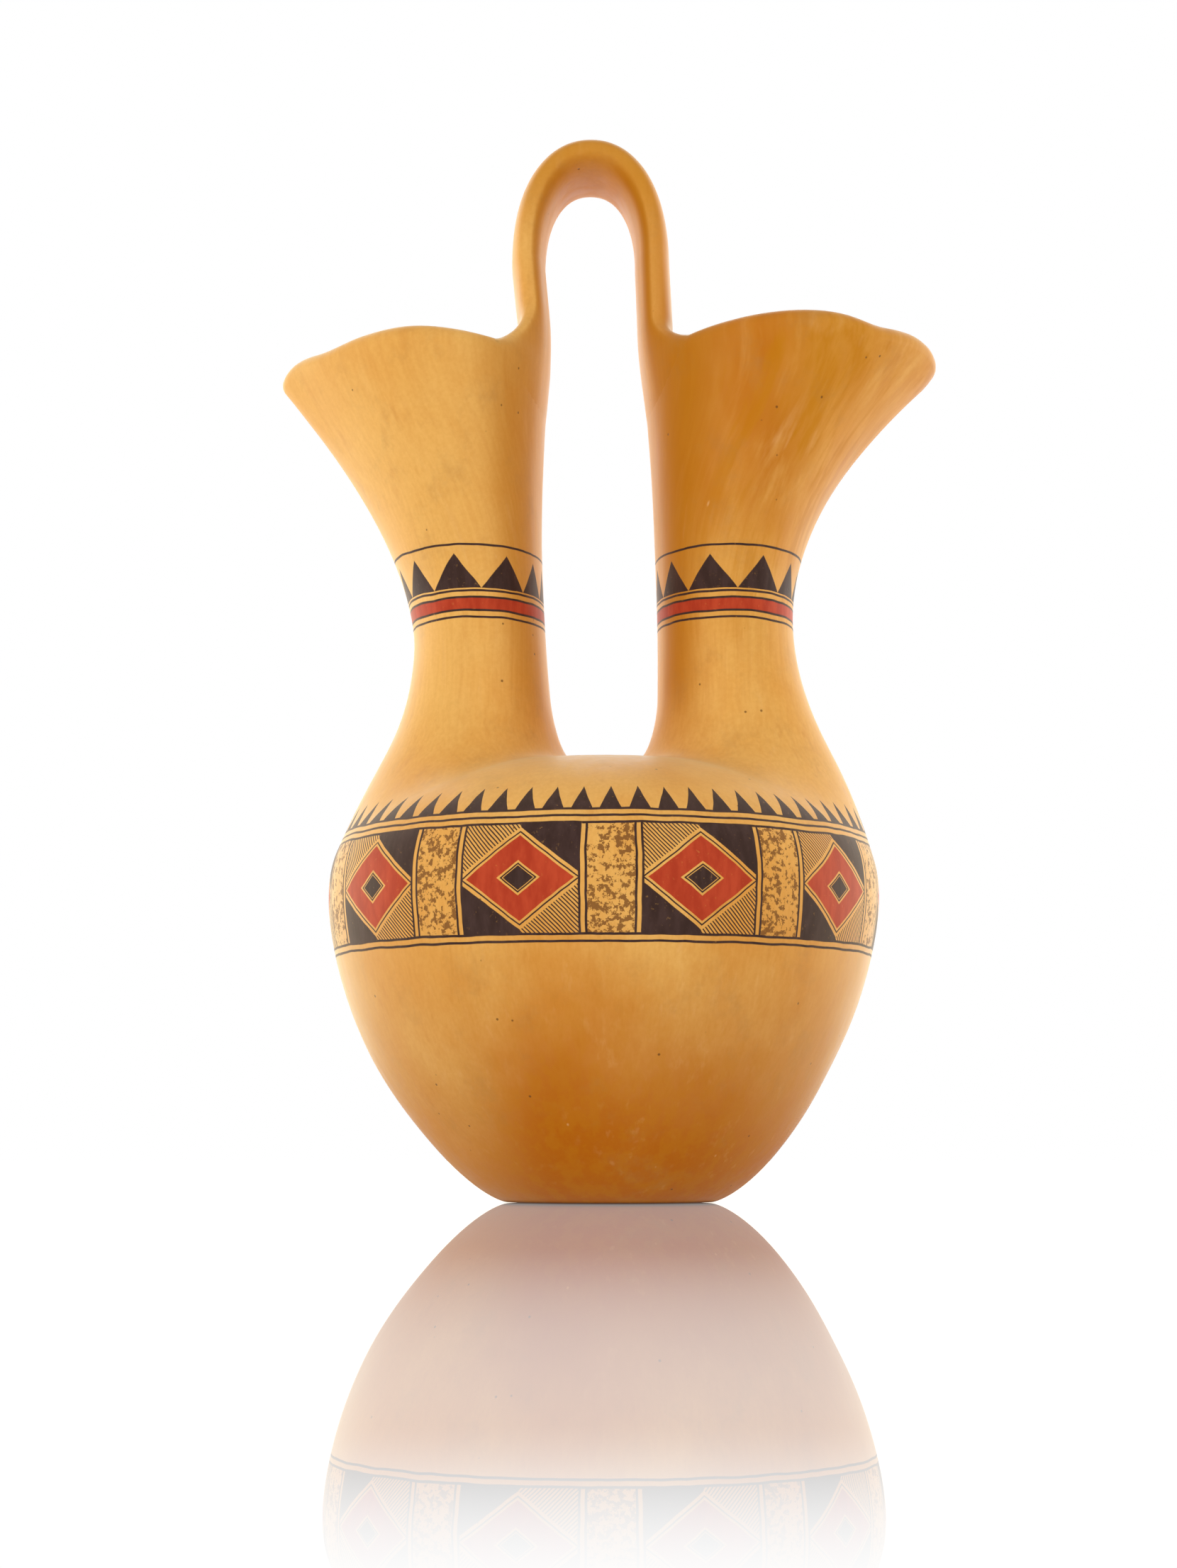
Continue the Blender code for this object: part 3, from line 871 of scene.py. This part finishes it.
def clayGroup():
    g, entry, leave = newGroup(
        "burnishedClayWithPaintedShade",
        [("Position", vectorKind)],
        [("Colour", colourKind), ("Roughness", floatKind), ("Height", floatKind)],
    )
    place = entry["Position"]
    x, y, z = g.split(place)

    def ramp(value, name):
        return g.ramp(value, *clay[name])

    def noise(name, vector=place):
        stretch, scale, detail, roughness = clay[name]
        vector = vector if stretch == 1 else g.scale(vector, (1, 1, stretch))
        return g.noise(vector, scale, detail, roughness)

    # the stone's marks spread with the mouths
    narrow = ramp(z, "fanHeight")
    fan = g.join(g.times(x, narrow), g.times(y, narrow), z)
    cloud, drift = noise("cloud"), noise("drift")
    byCloud, byDrift = clay["lowUneven"]
    uneven = g.add(g.times(g.subtract(cloud, 0.5), byCloud), g.times(g.subtract(drift, 0.5), byDrift))
    # the deep tone low down is partly the clay's own colour and partly painted shade under the belly; it thins
    # towards the left and right, where side light is painted
    low = ramp(g.add(z, uneven), "lowHeight")
    low = g.times(low, g.least(ramp(x, "lowLeft"), ramp(x, "lowRight")))
    colour = g.mix(ramp(cloud, "cloudMix"), clay["middle"], clay["pale"])
    leftSide = g.times(ramp(x, "leftAcross"), ramp(z, "leftHeight"))
    colour = g.mix(g.times(leftSide, clay["leftPale"]), colour, clay["pale"])
    colour = g.mix(g.times(low, clay["lowDeep"]), colour, clay["deep"])
    rightSide = g.times(ramp(x, "rightAcross"), ramp(z, "rightHeight"))
    colour = g.mix(g.times(rightSide, ramp(drift, "amberDrift")), colour, clay["amber"])
    heart = g.times(g.times(ramp(x, "heartNear"), ramp(x, "heartFar")), ramp(z, "heartHeight"))
    colour = g.mix(g.times(heart, ramp(drift, "heartDrift")), colour, clay["deep"])
    # painted shade: amber where the necks turn to face each other across the gap; amber on the arch
    sideways, backwards, _ = g.normal()
    gapShade = ramp(g.times(sideways, ramp(x, "gapMiddle")), "gapTurn")
    gapShade = g.times(gapShade, g.times(ramp(z, "gapHeight"), ramp(backwards, "gapFront")))
    colour = g.mix(g.times(gapShade, ramp(x, "gapAcross")), colour, clay["amber"])
    colour = g.mix(ramp(z, "archHeight"), colour, clay["amber"])
    streak = noise("streak", fan)
    colour = g.mix(g.times(rightSide, ramp(streak, "amberStreak")), colour, clay["amber"])
    colour = g.mix(g.times(low, ramp(streak, "lowStreak")), colour, clay["amber"])
    colour = g.mix(g.times(rightSide, ramp(streak, "paleStreak")), colour, clay["pale"])
    # marks of the rubbing stone run up and down
    long, fine = noise("long", fan), noise("fine", fan)
    colour = g.mix(g.times(ramp(long, "rubLong"), ramp(drift, "rubDrift")), colour, clay["rub"])
    colour = g.mix(g.times(ramp(long, "dullLong"), clay["dullDeep"]), colour, clay["deep"])
    colour = g.mix(ramp(fine, "deepFine"), colour, clay["deep"])
    smudge = ramp(noise("smudge"), "smudgeMix")
    colour = g.mix(g.times(smudge, clay["smudgeSmoke"]), colour, clay["smoke"])
    mottle = ramp(noise("mottle"), "mottleMix")
    colour = g.mix(g.times(mottle, clay["mottleAmber"]), colour, clay["amber"])
    scale, size, soft, chance = clay["chips"]
    chip, shade = g.cells(g.scale(fan, (1, 1, clay["chipStretch"])), scale)
    _, luck, _ = g.split(shade)
    colour = g.mix(g.times(g.below(chip, size, soft), g.ramp(luck, *chance)), colour, clay["rub"])
    scale, size, soft, chance = clay["pits"]
    speck, shade = g.cells(place, scale)
    luck, _, _ = g.split(shade)
    pit = g.times(g.below(speck, size, soft), g.ramp(luck, *chance))
    colour = g.mix(g.times(pit, clay["pitTone"]), colour, clay["pit"])
    rough = g.add(ramp(long, "roughLong"), g.times(g.subtract(cloud, 0.5), clay["roughCloud"]))
    heights = clay["heights"]
    fineHeight = g.add(g.times(fine, heights["fine"]), g.times(noise("grain"), heights["grain"]))
    height = g.add(g.times(long, heights["long"]), fineHeight)
    height = g.subtract(height, g.times(pit, heights["pit"]))
    g.set(leave["Colour"], colour)
    g.set(leave["Roughness"], rough)
    g.set(leave["Height"], height)
    return g.tree


# painted belt round the belly: framed lozenges between stippled panels
belt = {
    "low": 0.0640,
    "high": 0.0905,
    "repeats": 10.0,
    "line": 0.00030,
    "soft": 0.0001,
    "wobble": 0.0009,
    "turnWobble": 14.0,
    "lozenge": 0.33,  # half its width, as a share of one unit
    "lozengeGap": 0.0022,
    "redInset": 0.0012,
    "core": 0.30,
    "coreGap": 0.0011,
    "dotInset": 0.0006,
    "flankGap": 0.0016,
    "hatch": 0.0011,
    "hatchLine": 0.00022,
    "panelGap": 0.0016,
    "frameGap": 0.0017,
    "teeth": 12,
    "toothFoot": 0.0034,
    "toothTall": 0.0062,
    "toothSlope": 1.3,
}
maskSockets = [("Dark", floatKind), ("Red", floatKind), ("Stipple", floatKind)]
wobbleScales = (95, 110)


# the unsteady hand: two shifts for what is painted
def wobbled(g, place, amount):
    places = (place, g.scale(place, (-1, 1, -1)))
    return [g.times(g.subtract(g.noise(p, s, 2), 0.5), amount) for p, s in zip(places, wobbleScales)]


# 1 on faces that look away from an upright axis, 0 on the inner wall
def outerSide(g, x, y, side):
    across, along, _ = g.normal()
    facing = g.add(g.times(g.times(across, side), x), g.times(along, y))
    return g.ramp(facing, 0.0, 0.002)


def stroke(g, distance, width):
    return g.below(g.size(distance), width, belt["soft"])


def beltGroup():
    g, entry, leave = newGroup("paintedBelt", [("Position", vectorKind)], maskSockets)
    place = entry["Position"]
    soft, line = belt["soft"], belt["line"]
    x, y, z = g.split(place)
    rise, drift = wobbled(g, place, belt["wobble"])
    z = g.add(z, rise)
    turn = g.add(g.math("ARCTAN2", y, x), g.times(drift, belt["turnWobble"]))
    share = g.math("FRACT", g.add(g.times(turn, belt["repeats"] / (2 * math.pi)), 0.5 + belt["repeats"] * 2))
    pitch = 2 * math.pi * jar["belly"] / belt["repeats"]
    across = g.times(g.subtract(share, 0.5), pitch)
    fromMiddle = g.size(across)
    tall = belt["high"] - belt["low"]
    up = g.subtract(z, (belt["low"] + belt["high"]) / 2)
    fromHalf = g.size(up)
    inside = g.below(fromHalf, tall / 2, soft)
    # the lozenge takes the middle of each unit, the panel its ends
    half = pitch * belt["lozenge"]
    slope = half / (tall / 2 - belt["lozengeGap"])
    slant = g.add(fromMiddle, g.times(fromHalf, slope))
    edge = g.subtract(slant, half)
    core = g.subtract(slant, half * belt["core"])
    redZone = g.times(g.below(edge, -belt["redInset"], soft), inside)
    redZone = g.times(redZone, g.subtract(1.0, g.below(core, belt["coreGap"], soft)))
    dot = g.below(core, -belt["dotInset"], soft)
    inUnit = g.below(fromMiddle, half, soft)
    flank = g.times(g.subtract(1.0, g.below(edge, belt["flankGap"], soft)), g.times(inUnit, inside))
    # two corners dark, two hatched
    filled = g.math("GREATER_THAN", g.times(across, up), 0.0)
    darkFlank = g.times(flank, filled)
    stripes = g.subtract(g.math("PINGPONG", g.add(across, up), belt["hatch"]), belt["hatch"] / 2)
    hatch = g.times(flank, g.subtract(1.0, filled))
    hatch = g.times(hatch, g.below(g.size(stripes), belt["hatchLine"], soft))
    panelEnd = half + belt["panelGap"]
    panelLine = stroke(g, g.subtract(fromMiddle, half), line)
    panelLine = g.most(panelLine, stroke(g, g.subtract(fromMiddle, panelEnd), line))
    lines = g.times(panelLine, inside)
    for outline in (edge, core):
        lines = g.most(lines, g.times(g.times(stroke(g, outline, line), inUnit), inside))
    frameLine = stroke(g, g.subtract(fromHalf, tall / 2), line)
    frameLine = g.most(frameLine, stroke(g, g.subtract(fromHalf, tall / 2 + belt["frameGap"]), line))
    panel = g.times(g.subtract(1.0, g.below(fromMiddle, panelEnd, soft)), inside)
    # a row of small points stands on the belt
    foot = tall / 2 + belt["toothFoot"]
    toothPitch = pitch / belt["teeth"]
    teeth = g.math("PINGPONG", across, toothPitch)
    fall = g.times(teeth, belt["toothTall"] / toothPitch * belt["toothSlope"])
    over = g.subtract(g.subtract(up, foot), g.subtract(belt["toothTall"], fall))
    tooth = g.times(g.below(over, 0.0, soft), g.math("GREATER_THAN", up, foot))
    base = stroke(g, g.subtract(up, foot), line)
    framing = g.most(frameLine, g.most(tooth, base))
    dark = g.most(g.most(darkFlank, hatch), g.most(lines, g.most(framing, g.times(dot, inside))))
    outside = outerSide(g, x, y, 1.0)
    for label, mask in (("Dark", dark), ("Red", redZone), ("Stipple", panel)):
        g.set(leave[label], g.times(mask, outside))
    return g.tree


# painted collar round each neck; levels are shares of its height
collar = {
    "low": 0.1475,
    "high": 0.1640,
    "axis": 0.0325,
    "line": 0.00028,
    "wobble": 0.0008,
    "turnWobble": 30.0,
    "points": 12.0,
    "pointFoot": 0.44,
    "pointTall": 0.52,
    "pointSoft": 0.01,
    "stripe": (0.10, 0.30),
    "lines": (0.0, 0.10, 0.30, 0.40),
    "topGap": 0.0016,
}


def collarGroup():
    g, entry, leave = newGroup("paintedCollar", [("Position", vectorKind)], maskSockets)
    place = entry["Position"]
    x, y, z = g.split(place)
    rise, drift = wobbled(g, place, collar["wobble"])
    z = g.add(z, rise)
    own = g.subtract(g.size(x), collar["axis"])
    turn = g.add(g.math("ARCTAN2", y, own), g.times(drift, collar["turnWobble"]))
    share = g.math("FRACT", g.add(g.times(turn, collar["points"] / (2 * math.pi)), collar["points"] * 2))
    tall = collar["high"] - collar["low"]
    up = g.math("DIVIDE", g.subtract(z, collar["low"]), tall)

    def between(low, high):
        return g.times(g.math("GREATER_THAN", up, low), g.math("LESS_THAN", up, high))

    # red stripe below, dark points above it
    red = between(*collar["stripe"])
    peak = g.subtract(1.0, g.size(g.subtract(g.times(share, 2.0), 1.0)))
    crest = g.add(collar["pointFoot"], g.times(peak, collar["pointTall"]))
    point = g.below(g.subtract(up, crest), 0.0, collar["pointSoft"])
    point = g.times(g.math("GREATER_THAN", up, collar["pointFoot"]), point)
    dark = g.times(point, between(0.0, 1.0))
    heights = [collar["low"] + level * tall for level in collar["lines"]] + [collar["high"] + collar["topGap"]]
    for height in heights:
        dark = g.most(dark, stroke(g, g.subtract(z, height), collar["line"]))
    outside = outerSide(g, own, y, g.math("SIGN", x))
    g.set(leave["Dark"], g.times(dark, outside))
    g.set(leave["Red"], g.times(red, outside))
    g.set(leave["Stipple"], 0.0)
    return g.tree


# brush paint over the clay: uneven cover, dabbed stipple
paint = {
    "dark": (0.040, 0.021, 0.018, 1),
    "darkThin": (0.062, 0.034, 0.030, 1),
    "red": (0.40, 0.040, 0.016, 1),
    "redThin": (0.50, 0.062, 0.024, 1),
    "stipple": (0.17, 0.062, 0.018, 1),
    "brushStretch": 0.3,
    "brush": (380, 3, 0.6),
    "worn": (900, 3, 0.65),
    "dabs": (620, 3, 0.7),
    "heavy": (120, 2, 0.5),
    "wornCover": (0.24, 0.38, 0.80, 1.0),
    "redBrush": (0.3, 0.7),
    "darkBrush": (0.3, 0.75),
    "dabEdge": (0.50, 0.57),
    "dabUneven": 0.25,
    "dabCover": 0.85,
    "rough": 0.46,
}


def coverGroup():
    g, entry, leave = newGroup(
        "brushCover",
        [("Position", vectorKind), ("Colour", colourKind), ("Roughness", floatKind)] + maskSockets,
        [("Colour", colourKind), ("Roughness", floatKind), ("Cover", floatKind)],
    )
    place = entry["Position"]
    brush = g.noise(g.scale(place, (1, 1, paint["brushStretch"])), *paint["brush"])
    thin = g.ramp(g.noise(place, *paint["worn"]), *paint["wornCover"])
    dabs, heavy = g.noise(place, *paint["dabs"]), g.noise(place, *paint["heavy"])
    dabs = g.add(dabs, g.times(g.subtract(heavy, 0.5), paint["dabUneven"]))
    dab = g.times(entry["Stipple"], g.ramp(dabs, *paint["dabEdge"]))
    stipple = g.times(dab, paint["dabCover"])
    redTone = g.mix(g.ramp(brush, *paint["redBrush"]), paint["red"], paint["redThin"])
    darkTone = g.mix(g.ramp(brush, *paint["darkBrush"]), paint["dark"], paint["darkThin"])
    colour = g.mix(stipple, entry["Colour"], paint["stipple"])
    colour = g.mix(g.times(entry["Red"], thin), colour, redTone)
    colour = g.mix(g.times(entry["Dark"], thin), colour, darkTone)
    cover = g.least(g.add(g.add(entry["Red"], entry["Dark"]), stipple), 1.0)
    g.set(leave["Colour"], colour)
    g.set(leave["Roughness"], g.blendValue(cover, entry["Roughness"], paint["rough"]))
    g.set(leave["Cover"], cover)
    return g.tree


clayTree = clayGroup()
coverTree = coverGroup()
paintTrees = [beltGroup(), collarGroup()]
paintedSlots = {"belly_clay": True, "spout_clay": True, "handle_clay": False}
# polish and painted sheen: a dull gloss, and a painted reflection of the bright room, a pale tone mixed into the
# base colour where the surface turns away
polishAndPaintedSheen = {
    "specular": 0.11,
    "specularTint": (1.0, 0.70, 0.30, 1),
    "bump": 0.35,
    "bumpDepth": 0.00012,
    "paintHeight": 0.5,
    "paintedGlow": (0.93, 0.70, 0.37, 1),
    "paintedGlowBlend": 0.5,
    "paintedGlowPower": (0.07, 0.12, 2.4, 4.0),
    "paintedGlowAcross": (0.02, 0.05, 0.78, 0.42),
    "paintedGlowLow": (0.08, 0.14, 0.72, 0.0),
    "paintedGlowArch": (0.225, 0.250, 1.0, 0.5),
    "paintedGlowUnder": (-0.70, -0.25, 0.0, 1.0),
    "paintedGlowPaint": (0.0, 1.0, 1.0, 0.3),
}


def clayMaterial(slot):
    material = bpy.data.materials.new(slot)
    material.use_nodes = True
    tree = material.node_tree
    g = Graph(tree)
    shader = tree.nodes["Principled BSDF"]
    place = tree.nodes.new("ShaderNodeTexCoord").outputs["Object"]

    def grouped(group):
        node = tree.nodes.new("ShaderNodeGroup")
        node.node_tree = group
        g.set(node.inputs["Position"], place)
        return node

    ground = grouped(clayTree)
    colour, rough = ground.outputs["Colour"], ground.outputs["Roughness"]
    height = ground.outputs["Height"]
    if paintedSlots[slot]:
        bands = [grouped(group) for group in paintTrees]
        cover = grouped(coverTree)
        g.set(cover.inputs["Colour"], colour)
        g.set(cover.inputs["Roughness"], rough)
        for label, _ in maskSockets:
            g.set(cover.inputs[label], g.most(*[band.outputs[label] for band in bands]))
        colour, rough = cover.outputs["Colour"], cover.outputs["Roughness"]
        height = g.add(height, g.times(cover.outputs["Cover"], polishAndPaintedSheen["paintHeight"]))
    bump = tree.nodes.new("ShaderNodeBump")
    bump.inputs["Strength"].default_value = polishAndPaintedSheen["bump"]
    bump.inputs["Distance"].default_value = polishAndPaintedSheen["bumpDepth"]
    g.set(bump.inputs["Height"], height)
    # painted sheen: a pale tone in the base colour at grazing angles, stronger on the left, in the gap and low
    # on the belly, none on faces that look down, weaker on the arch and over paint
    facing = tree.nodes.new("ShaderNodeLayerWeight")
    facing.inputs["Blend"].default_value = polishAndPaintedSheen["paintedGlowBlend"]
    x, _, z = g.split(place)
    _, _, upwards = g.normal()
    paintedGlow = g.math("POWER", facing.outputs["Facing"], g.ramp(z, *polishAndPaintedSheen["paintedGlowPower"]))
    paintedGlow = g.times(paintedGlow, g.most(g.ramp(x, *polishAndPaintedSheen["paintedGlowAcross"]), g.ramp(z, *polishAndPaintedSheen["paintedGlowLow"])))
    paintedGlow = g.times(paintedGlow, g.ramp(z, *polishAndPaintedSheen["paintedGlowArch"]))
    paintedGlow = g.times(paintedGlow, g.ramp(upwards, *polishAndPaintedSheen["paintedGlowUnder"]))
    if paintedSlots[slot]:
        paintedGlow = g.times(paintedGlow, g.ramp(cover.outputs["Cover"], *polishAndPaintedSheen["paintedGlowPaint"]))
    colour = g.mix(paintedGlow, colour, polishAndPaintedSheen["paintedGlow"])
    g.set(shader.inputs["Base Color"], colour)
    g.set(shader.inputs["Roughness"], rough)
    g.set(shader.inputs["Normal"], bump.outputs["Normal"])
    shader.inputs["Specular IOR Level"].default_value = polishAndPaintedSheen["specular"]
    shader.inputs["Specular Tint"].default_value = polishAndPaintedSheen["specularTint"]
    return material


materials = {slot: clayMaterial(slot) for slot in paintedSlots}
for name, made in skinObjects.items():
    made.data.materials.clear()
    made.data.materials.append(materials[slots[name]])
print("materials set")

# table: white and glossy, its mirror image fades towards the camera; a painted contact shadow rings the foot
table = {
    "half": 3.0,
    "top": -0.0002,
    "mirror": (0.86, 0.77, 0.67, 1),
    "near": (-0.705, -0.64, 0.0, 0.50),
    "far": (-0.64, -0.35, 0.0, 0.28),
    "contactShadow": 0.0272,
    "contactSoft": 0.0012,
    "contactShade": 0.25,
    "bounce": (-0.05, 0.35, 0.55, 1.7),
}
tableMesh = bpy.data.meshes.new("table")
corners = [(-1, -1), (1, -1), (1, 1), (-1, 1)]
corners = [(table["half"] * a, table["half"] * b, table["top"]) for a, b in corners]
tableMesh.from_pydata(corners, [], [(0, 1, 2, 3)])
tableTop = bpy.data.objects.new("table", tableMesh)
scene.collection.objects.link(tableTop)
tableMaterial = bpy.data.materials.new("table_white")
tableMaterial.use_nodes = True
tree = tableMaterial.node_tree
tree.nodes.remove(tree.nodes["Principled BSDF"])
g = Graph(tree)
place = tree.nodes.new("ShaderNodeTexCoord").outputs["Object"]
x, y, _ = g.split(place)
light = tree.nodes.new("ShaderNodeLightPath")
# painted contact shadow: the floor's glow darkens in a thin ring round the foot
radius = g.math("SQRT", g.add(g.times(x, x), g.times(y, y)))
contactEnd = table["contactShadow"] + table["contactSoft"]
contactShadow = g.ramp(radius, table["contactShadow"], contactEnd, table["contactShade"], 1.0)
paintedGlow = tree.nodes.new("ShaderNodeEmission")
seen = light.outputs["Is Camera Ray"]
bounce = g.ramp(y, *table["bounce"])
g.set(paintedGlow.inputs["Strength"], g.times(g.blendValue(seen, bounce, 1.0), contactShadow))
mirror = tree.nodes.new("ShaderNodeBsdfGlossy")
mirror.inputs["Roughness"].default_value = 0.0
mirror.inputs["Color"].default_value = table["mirror"]
share = g.times(g.add(g.ramp(y, *table["near"]), g.ramp(y, *table["far"])), seen)
blend = tree.nodes.new("ShaderNodeMixShader")
g.set(blend.inputs[0], share)
g.set(blend.inputs[1], paintedGlow.outputs[0])
g.set(blend.inputs[2], mirror.outputs[0])
g.set(tree.nodes["Material Output"].inputs["Surface"], blend.outputs[0])
tableMesh.materials.append(tableMaterial)

# light: a white room, brightest above and behind, and four soft lamps
room = {
    "below": 0.15,
    "level": 0.68,
    "above": 0.80,
    "lowRise": (-0.5, 0.1),
    "highRise": (0.1, 0.9),
    "depth": (-0.6, 0.7, 0.40, 1.6),  # darker in front, brighter behind
    "shine": 0.55,
    "mirror": 1.65,
}
world = bpy.data.worlds.new("room")
scene.world = world
world.use_nodes = True
tree = world.node_tree
g = Graph(tree)
background = tree.nodes["Background"]
direction = tree.nodes.new("ShaderNodeTexCoord").outputs["Generated"]
_, ahead, upwards = g.split(direction)
light = tree.nodes.new("ShaderNodeLightPath")
lowSky = g.ramp(upwards, *room["lowRise"], room["below"], room["level"])
highSky = g.ramp(upwards, *room["highRise"], 0.0, room["above"] - room["level"])
sky = g.times(g.add(lowSky, highSky), g.ramp(ahead, *room["depth"]))
sky = g.times(sky, g.add(1.0, g.times(light.outputs["Is Glossy Ray"], room["shine"])))
sky = g.blendValue(light.outputs["Is Singular Ray"], sky, room["mirror"])
g.set(background.inputs["Strength"], g.blendValue(light.outputs["Is Camera Ray"], sky, 1.0))
background.inputs["Color"].default_value = (1, 1, 1, 1)

lamps = {
    "key": {"place": (-0.55, -0.95, 0.06), "size": 0.7, "power": 10.0},
    "fill": {"place": (0.65, -0.90, 0.08), "size": 0.7, "power": 6.2},
    "rimLeft": {"place": (-0.90, 0.34, 0.04), "size": 0.6, "power": 6.4},
    "rimRight": {"place": (0.90, 0.34, 0.04), "size": 0.6, "power": 6.9},
}
lampAim = Vector((0, 0, 0.14))
for name, lamp in lamps.items():
    lampData = bpy.data.lights.new(name, "AREA")
    lampData.size = lamp["size"]
    lampData.energy = lamp["power"]
    softbox = bpy.data.objects.new(name, lampData)
    softbox.location = lamp["place"]
    softbox.visible_camera = False
    softbox.visible_glossy = False
    softbox.rotation_euler = (lampAim - softbox.location).to_track_quat("-Z", "Y").to_euler()
    scene.collection.objects.link(softbox)
print("lights set")

bpy.context.view_layer.update()
